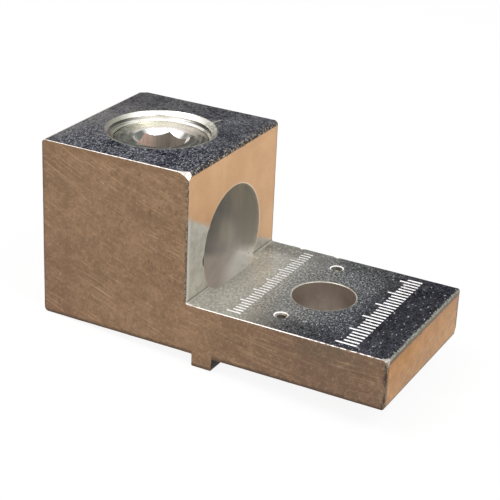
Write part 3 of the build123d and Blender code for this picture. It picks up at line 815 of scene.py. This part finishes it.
def edge_sizes(x, z, far):
    """Width of the broken sawn edge, in from the side on the extruded faces, and down the side face."""
    ragged = wobble(x, 3 if far else -3, z, 1.1, 1) * 0.5 + wobble(x, 3 if far else -3, z, 0.35, 2) * 0.6
    across, down = 0.10 + 0.06 * ragged, 0.07 + 0.04 * ragged
    on_top = z > TOP - 0.4 or (abs(z - TONGUE) < 0.3 and x > FRONT)
    if not far:
        if on_top:
            wide = smooth(BACK, FRONT, x) if z > TONGUE + 1 else 0.35 + 0.65 * smooth(FRONT, TIP, x)
            across, down = (0.10 + 0.10 * wide) + 0.08 * ragged, (0.07 + 0.05 * wide) + 0.04 * ragged
        near = math.hypot(x - (FRONT - 0.4), (z - (TOP - 0.4)) * 1.9)
        lift = 1 - smooth(0.4, 2.2, near)
        across, down = across + 0.95 * lift, down + 0.8 * lift
        if x > TIP - 4 and z > TONGUE - 4:
            across += 0.9 * max(0.0, 1 - max(0.0, TIP - 0.5 - x) / 0.8) * max(0.0, 1 - max(0.0, TONGUE - 0.5 - z) / 2.0)
        if on_top and z < TONGUE + 1:
            across += 0.5 * (1 - smooth(0.2, 1.1, abs(x - FRONT - 0.7)))
    elif on_top:
        for nick in (-14.4, -5.9):
            across += 0.5 * (1 - smooth(0.15, 0.55, abs(x - nick)))
            down += 0.25 * (1 - smooth(0.15, 0.55, abs(x - nick)))
    if far and z >= 0:
        for corner_x, corner_z, width in ((TIP - 0.4, 0.4, 0.6), (BACK + 0.4, TOP - 0.4, 1.0)):
            lift = 1 - smooth(0.4, 1.7, math.hypot(x - corner_x, z - corner_z))
            across, down = across + width * lift, down + 0.45 * lift
    return max(across, 0.03), max(down, 0.03)


def make_body():
    points, kinds = body_outline()
    count = len(points)
    verts, rings = [], [[], [], [], []]
    for x, z, nx, nz in points:
        near_in, near_down = edge_sizes(x, z, False)
        far_in, far_down = edge_sizes(x, z, True)
        side_x, side_z = x + nx * near_down, z + nz * near_down
        beyond = ((side_x - TIP + 0.8) * 2.0 + (side_z - TONGUE) * 0.8) / 2.154
        if beyond > 0 and z > 0:
            side_x, side_z = side_x - beyond * 0.928, side_z - beyond * 0.371
        for ring, v in zip(rings, (
            (side_x, -HALF, side_z),
            (x, -HALF + near_in, z),
            (x, HALF - far_in, z),
            (x + nx * far_down, HALF, z + nz * far_down),
        )):
            ring.append(len(verts))
            verts.append(v)
    faces, slots = [rings[0][:], rings[3][::-1]], [SAWN, SAWN]
    i = 0
    while i < count:
        j = i + 1
        slot, straight = kinds[i]
        if straight:
            while kinds[j % count][1] and kinds[(j - 1) % count] == kinds[i] and j - i < count and \
                    points[j % count][2:] == points[(j - 1) % count][2:] and j < count:
                j += 1
        near = [rings[1][k % count] for k in range(i, j + 1)]
        far = [rings[2][k % count] for k in range(j, i - 1, -1)]
        faces.append(near + far)
        slots.append(slot)
        i = j
    for i in range(count):
        j = (i + 1) % count
        faces.append([rings[0][i], rings[0][j], rings[1][j], rings[1][i]])
        faces.append([rings[2][i], rings[2][j], rings[3][j], rings[3][i]])
        slots += [EDGE, EDGE]
    return make_object("body_shell", verts, faces, slots, body_materials)


def mark_tool():
    """Plain stamped graduations on the tongue; the two round punch marks are cut separately. No letters, numbers or
    signs.
    """
    verts, faces, slots = [], [], []

    def block(x0, x1, y0, y1, depth=0.14, draft=0.06):
        s = len(verts)
        for z, g in ((TONGUE + 0.3, 0.0), (TONGUE - depth, draft)):
            verts.extend([(x0 + g, y0 + g, z), (x1 - g, y0 + g, z), (x1 - g, y1 - g, z), (x0 + g, y1 - g, z)])
        for f in ((0, 1, 2, 3), (7, 6, 5, 4), (0, 4, 5, 1), (1, 5, 6, 2), (2, 6, 7, 3), (3, 7, 4, 0)):
            faces.append([s + v for v in f])
            slots.append(MARK)

    for k in range(30):
        y = -16.8 + 1.15 * k
        block(-14.0 if k % 5 == 0 else -13.1, -10.7, y, y + 0.50)
    for k in range(27):
        y = -17.0 + 1.29 * k
        block(10.5 if k % 5 == 0 else 11.8, 15.2, y, y + 0.62, 0.16)
    return make_object("mark_tool", verts, faces, slots, body_materials)


body = make_body()

bore = lathe(
    "bore_tool",
    [(0, BACK - 2, BORE), (BORE_R + 2.3, BACK - 2, BORE), (BORE_R + 0.3, BACK - 0.001, BORE), (BORE_R, BACK + 0.3, BORE),
     (BORE_R, BORE_END - 0.25, BORE), (BORE_R - 0.07, BORE_END - 0.07, BORE), (BORE_R - 0.25, BORE_END, BORE), (0, BORE_END, BORE)],
    Matrix.Translation((0, 0, BORE_Z)) @ Matrix(((0, 0, 1), (0, 1, 0), (-1, 0, 0))).to_4x4(),
    160, body_materials)
cut(body, bore)

ROWS = [0.0, 0.0625, 0.2188, 0.375, 0.5, 0.625, 0.7812, 0.9375]


def hole_radius(u, z):
    r = 11.12 - 0.99 * thread_depth(u, 0.0625, 0.3125)
    r = max(r, 11.86 - (TOP - z))
    return min(r, 10.13) if z < 20.5 else r


tap = helix("tap_tool", 20.0, TOP + 1.0, hole_radius, ROWS, 144, Matrix.Translation((SCREW_X, 0, 0)), body_materials, TAP)
cut(body, tap)

bolt = lathe(
    "bolt_tool",
    [(0, -1, BOLT), (BOLT_R + 1.25, -1, BOLT), (BOLT_R, 0.25, BOLT), (BOLT_R, TONGUE - 0.13, EDGE), (BOLT_R + 0.17, TONGUE + 0.001, EDGE),
     (BOLT_R + 1.4, TONGUE + 1, BOLT), (0, TONGUE + 1, BOLT)],
    Matrix.Identity(4), 128, body_materials)
cut(body, bolt)

cut(body, mark_tool())

for x, y in ((-3.5, 13.7), (-3.5, -12.7)):
    punch = lathe(
        "punch_tool",
        [(0, TONGUE - 0.95, TAP), (0.25, TONGUE - 0.88, TAP), (1.3, TONGUE - 0.14, MARK), (1.55, TONGUE + 0.001, MARK),
         (2.5, TONGUE + 0.5, MARK), (0, TONGUE + 0.5, MARK)],
        Matrix.Translation((x, y, 0)), 48, body_materials)
    cut(body, punch)

# ---------------------------------------------------------------- screw


def screw_radius(u, z):
    r = 11.05 - 1.11 * thread_depth(u, 0.0625, 0.3535)
    head = 9.95 + (SCREW_TOP - z)
    point = 9.35 + (z - SCREW_TIP - 0.6)
    return min(r, head, point)


screw = helix("screw_shell", SCREW_TIP - 0.2, SCREW_TOP, screw_radius, [0.0, 0.0625, 0.18, 0.3, 0.416, 0.5, 0.584, 0.7, 0.82, 0.9375],
              144, Matrix.Translation((SCREW_X, 0, 0)), screw_materials, SCREW_THREAD)
for f in screw.data.polygons:
    if abs(f.center.z - SCREW_TOP * 0.001) < 1e-6:
        f.material_index = SCREW_TOPS

# Slightly domed point
DOME = 73.15
outline = [(0, SCREW_TIP, SCREW_TOPS)]
for radius in (1.6, 3.2, 4.8, 6.4, 8.0, 9.6):
    outline.append((radius, SCREW_TIP + DOME - math.sqrt(DOME * DOME - radius * radius), SCREW_TOPS))
outline += [(13.0, outline[-1][1], SCREW_TOPS), (13.0, SCREW_TIP - 2, SCREW_TOPS), (0, SCREW_TIP - 2, SCREW_TOPS)]
cut(screw, lathe("point_tool", outline, Matrix.Translation((SCREW_X, 0, 0)), 96, screw_materials))

pilot = lathe(
    "pilot_tool",
    [(0, 25.0, SCREW_HEX), (4.65, 27.8, SCREW_HEX), (4.65, SCREW_TOP - 1.35, SCREW_CONE), (6.0, SCREW_TOP + 0.001, SCREW_CONE),
     (7.0, SCREW_TOP + 1, SCREW_CONE), (0, SCREW_TOP + 1, SCREW_CONE)],
    Matrix.Translation((SCREW_X, 0, 0)), 96, screw_materials)
cut(screw, pilot)
hexagon = lathe(
    "hex_tool",
    [(0, SCREW_TOP - 9.0, SCREW_HEX), (9.53 / math.sqrt(3), SCREW_TOP - 9.0, SCREW_HEX), (9.53 / math.sqrt(3), SCREW_TOP + 1, SCREW_HEX),
     (0, SCREW_TOP + 1, SCREW_HEX)],
    Matrix.Translation((SCREW_X, 0, 0)) @ Matrix.Rotation(math.radians(42), 4, "Z"), 6, screw_materials)
cut(screw, hexagon)

body.name = body.data.name = "lug_body_visual"
screw.name = screw.data.name = "clamp_screw_visual"
for piece, node, moves_with, slot in ((body, "lug_body", "lug", "body"), (screw, "clamp_screw", "screw", "screw")):
    piece.data.set_sharp_from_angle(angle=math.radians(28))
    piece.data.shade_smooth()
    piece.data.set_sharp_from_angle(angle=math.radians(28))
    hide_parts(node)
    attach(piece, moves_with)

# ---------------------------------------------------------------- floor, light, camera

# The lug rests on the block's back edge and the rib, so the floor slopes a little in the lug's frame
floor_tilt = math.atan2(-RIB_LOW, (RIB_BACK + 0.3) - (BACK + 1.0))
bpy.ops.mesh.primitive_plane_add(size=6.0, location=(BACK * 0.001 + 0.001, 0, -0.00003), rotation=(0, floor_tilt, 0))
floor = bpy.context.object
floor.name = "floor"
n = Nodes("pale_floor")
n.finish((0.95, 0.95, 0.95, 1.0), 0.9, None, metallic=0.0)
glow = n.tree.nodes.new("ShaderNodeEmission")
glow.inputs["Color"].default_value = (1, 1, 1, 1)
glow.inputs["Strength"].default_value = 1.0
path = n.tree.nodes.new("ShaderNodeLightPath")
seen = n.math("MAXIMUM", path.outputs["Is Camera Ray"], n.math("MAXIMUM", path.outputs["Is Glossy Ray"], path.outputs["Is Transmission Ray"]))
blend = n.tree.nodes.new("ShaderNodeMixShader")
n.put(blend.inputs[0], n.math("MULTIPLY", seen, 0.9))
n.tree.links.new(n.shader.outputs[0], blend.inputs[1])
n.tree.links.new(glow.outputs[0], blend.inputs[2])
n.tree.links.new(blend.outputs[0], n.out.inputs["Surface"])
floor.data.materials.append(n.material)

world = bpy.data.worlds.new("studio")
bpy.context.scene.world = world
world.use_nodes = True
wt = world.node_tree
wt.nodes.clear()
w_out = wt.nodes.new("ShaderNodeOutputWorld")
w_bg = wt.nodes.new("ShaderNodeBackground")
w_bg.inputs["Color"].default_value = (1, 1, 1, 1)
w_bg.inputs["Strength"].default_value = 0.62
w_seen = wt.nodes.new("ShaderNodeBackground")
w_seen.inputs["Color"].default_value = (1, 1, 1, 1)
w_seen.inputs["Strength"].default_value = 1.0
w_mix = wt.nodes.new("ShaderNodeMixShader")
w_path = wt.nodes.new("ShaderNodeLightPath")
w_seen_by = w_path.outputs["Is Camera Ray"]
for kind in ("Is Glossy Ray", "Is Transmission Ray"):
    either = wt.nodes.new("ShaderNodeMath")
    either.operation = "MAXIMUM"
    wt.links.new(w_seen_by, either.inputs[0])
    wt.links.new(w_path.outputs[kind], either.inputs[1])
    w_seen_by = either.outputs[0]
wt.links.new(w_seen_by, w_mix.inputs[0])
wt.links.new(w_bg.outputs[0], w_mix.inputs[1])
wt.links.new(w_seen.outputs[0], w_mix.inputs[2])
wt.links.new(w_mix.outputs[0], w_out.inputs["Surface"])


def softbox(name, place, aim, width, height, power):
    light = bpy.data.lights.new(name, "AREA")
    light.shape = "RECTANGLE"
    light.size, light.size_y = width, height
    light.energy = power
    obj = bpy.data.objects.new(name, light)
    bpy.context.scene.collection.objects.link(obj)
    obj.location = place
    obj.rotation_euler = (Vector(aim) - Vector(place)).to_track_quat("-Z", "Y").to_euler()
    return obj


softbox("key", (-0.22, -0.26, 0.52), (-0.02, 0, 0.01), 0.34, 0.34, 1.8)
softbox("fill", (0.55, -0.35, 0.30), (-0.02, 0, 0.01), 0.4, 0.4, 0.6)
softbox("front", (0.36, -0.06, 0.50), (-0.02, 0, 0.01), 0.3, 0.3, 1.2)

camera_data = bpy.data.cameras.new("camera")
camera_data.lens = 108.056
camera_data.sensor_width = 36.0
camera_data.clip_start, camera_data.clip_end = 0.01, 20.0
camera = bpy.data.objects.new("camera", camera_data)
bpy.context.scene.collection.objects.link(camera)
right, up, back = (0.87966, 0.47381, 0.04127), (-0.22898, 0.34585, 0.90992), (0.41685, -0.80987, 0.41272)
turn = Matrix((right, up, back)).transposed().to_4x4()
camera.matrix_world = Matrix.Translation((0.11444, -0.25685, 0.14791)) @ turn
bpy.context.scene.camera = camera
bpy.context.scene.view_settings.view_transform = "Standard"
